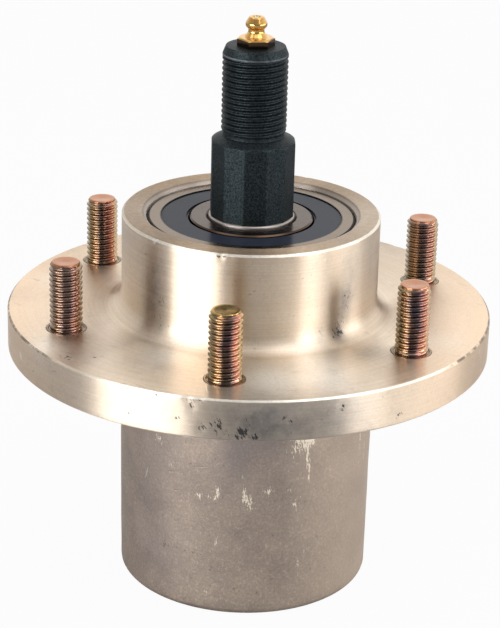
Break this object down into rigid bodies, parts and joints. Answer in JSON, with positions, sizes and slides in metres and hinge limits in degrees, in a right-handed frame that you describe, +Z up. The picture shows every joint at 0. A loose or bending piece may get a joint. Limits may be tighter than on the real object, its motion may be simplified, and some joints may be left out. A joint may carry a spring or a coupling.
{
  "type": "mower deck spindle",
  "caption": "Flanged aluminium spindle housing with press-in studs, sealed ball bearings and a black steel shaft with a flatted drive section, a threaded end and a grease fitting.",
  "frame": {"origin": "centre of the barrel's bottom rim, on the shaft's axis, where the part stands", "axes": "+Z up along the shaft towards the grease fitting; -Y through the stud nearest the viewer; +X to the viewer's right"},
  "size_m": [0.1436, 0.1436, 0.1724],
  "materials": {
    "housing_aluminium": "turned hub and flange, dull as-cast barrel",
    "stud_yellow_zinc": "iridescent yellow zinc plate",
    "bearing_steel": "ground",
    "ball_steel": "polished",
    "cage_steel": "pressed strip",
    "seal_rubber": "smooth, slightly glossy",
    "ring_steel": "phosphated",
    "shaft_black_oxide": "black oxide, oiled",
    "spacer_steel": "turned tube",
    "fitting_gold_zinc": "bright gold zinc plate",
    "spring_steel": "drawn wire"
  },
  "bodies": {
    "housing": {"housing": "housing_aluminium", "mounting_studs": "stud_yellow_zinc", "upper_outer_race": "bearing_steel", "upper_seal": "seal_rubber", "lower_outer_race": "bearing_steel", "lower_seal": "seal_rubber", "retaining_ring": "ring_steel"},
    "spindle": {"spindle_shaft": "shaft_black_oxide", "upper_inner_race": "bearing_steel", "lower_inner_race": "bearing_steel", "bearing_spacer": "spacer_steel", "grease_fitting": "fitting_gold_zinc", "grease_check_spring": "spring_steel"},
    "upper_ball_set": {"upper_balls": "ball_steel", "upper_cage_top": "cage_steel", "upper_cage_bottom": "cage_steel", "upper_cage_rivets": "cage_steel"},
    "lower_ball_set": {"lower_balls": "ball_steel", "lower_cage_top": "cage_steel", "lower_cage_bottom": "cage_steel", "lower_cage_rivets": "cage_steel"},
    "check_ball": {"grease_check_ball": "ball_steel"}
  },
  "joints": [
    {"name": "spindle_spin", "type": "hinge", "parent": "housing", "child": "spindle", "pos_m": [0, 0, 0.114], "axis": [0, 0, 1], "continuous": true},
    {"name": "upper_balls_orbit", "type": "hinge", "parent": "housing", "child": "upper_ball_set", "pos_m": [0, 0, 0.1042], "axis": [0, 0, 1], "continuous": true},
    {"name": "lower_balls_orbit", "type": "hinge", "parent": "housing", "child": "lower_ball_set", "pos_m": [0, 0, 0.0225], "axis": [0, 0, 1], "continuous": true},
    {"name": "check_ball_lift", "type": "slide", "parent": "spindle", "child": "check_ball", "axis": [0, 0, -1], "range_m": [0, 0.0009], "stiffness_N_per_m": 300, "springref_m": -0.002, "deforming": ["grease_check_spring"]}
  ],
  "couplings": [
    {"joint": "upper_balls_orbit", "follows": "spindle_spin", "ratio": 0.371},
    {"joint": "lower_balls_orbit", "follows": "spindle_spin", "ratio": 0.371}
  ]
}
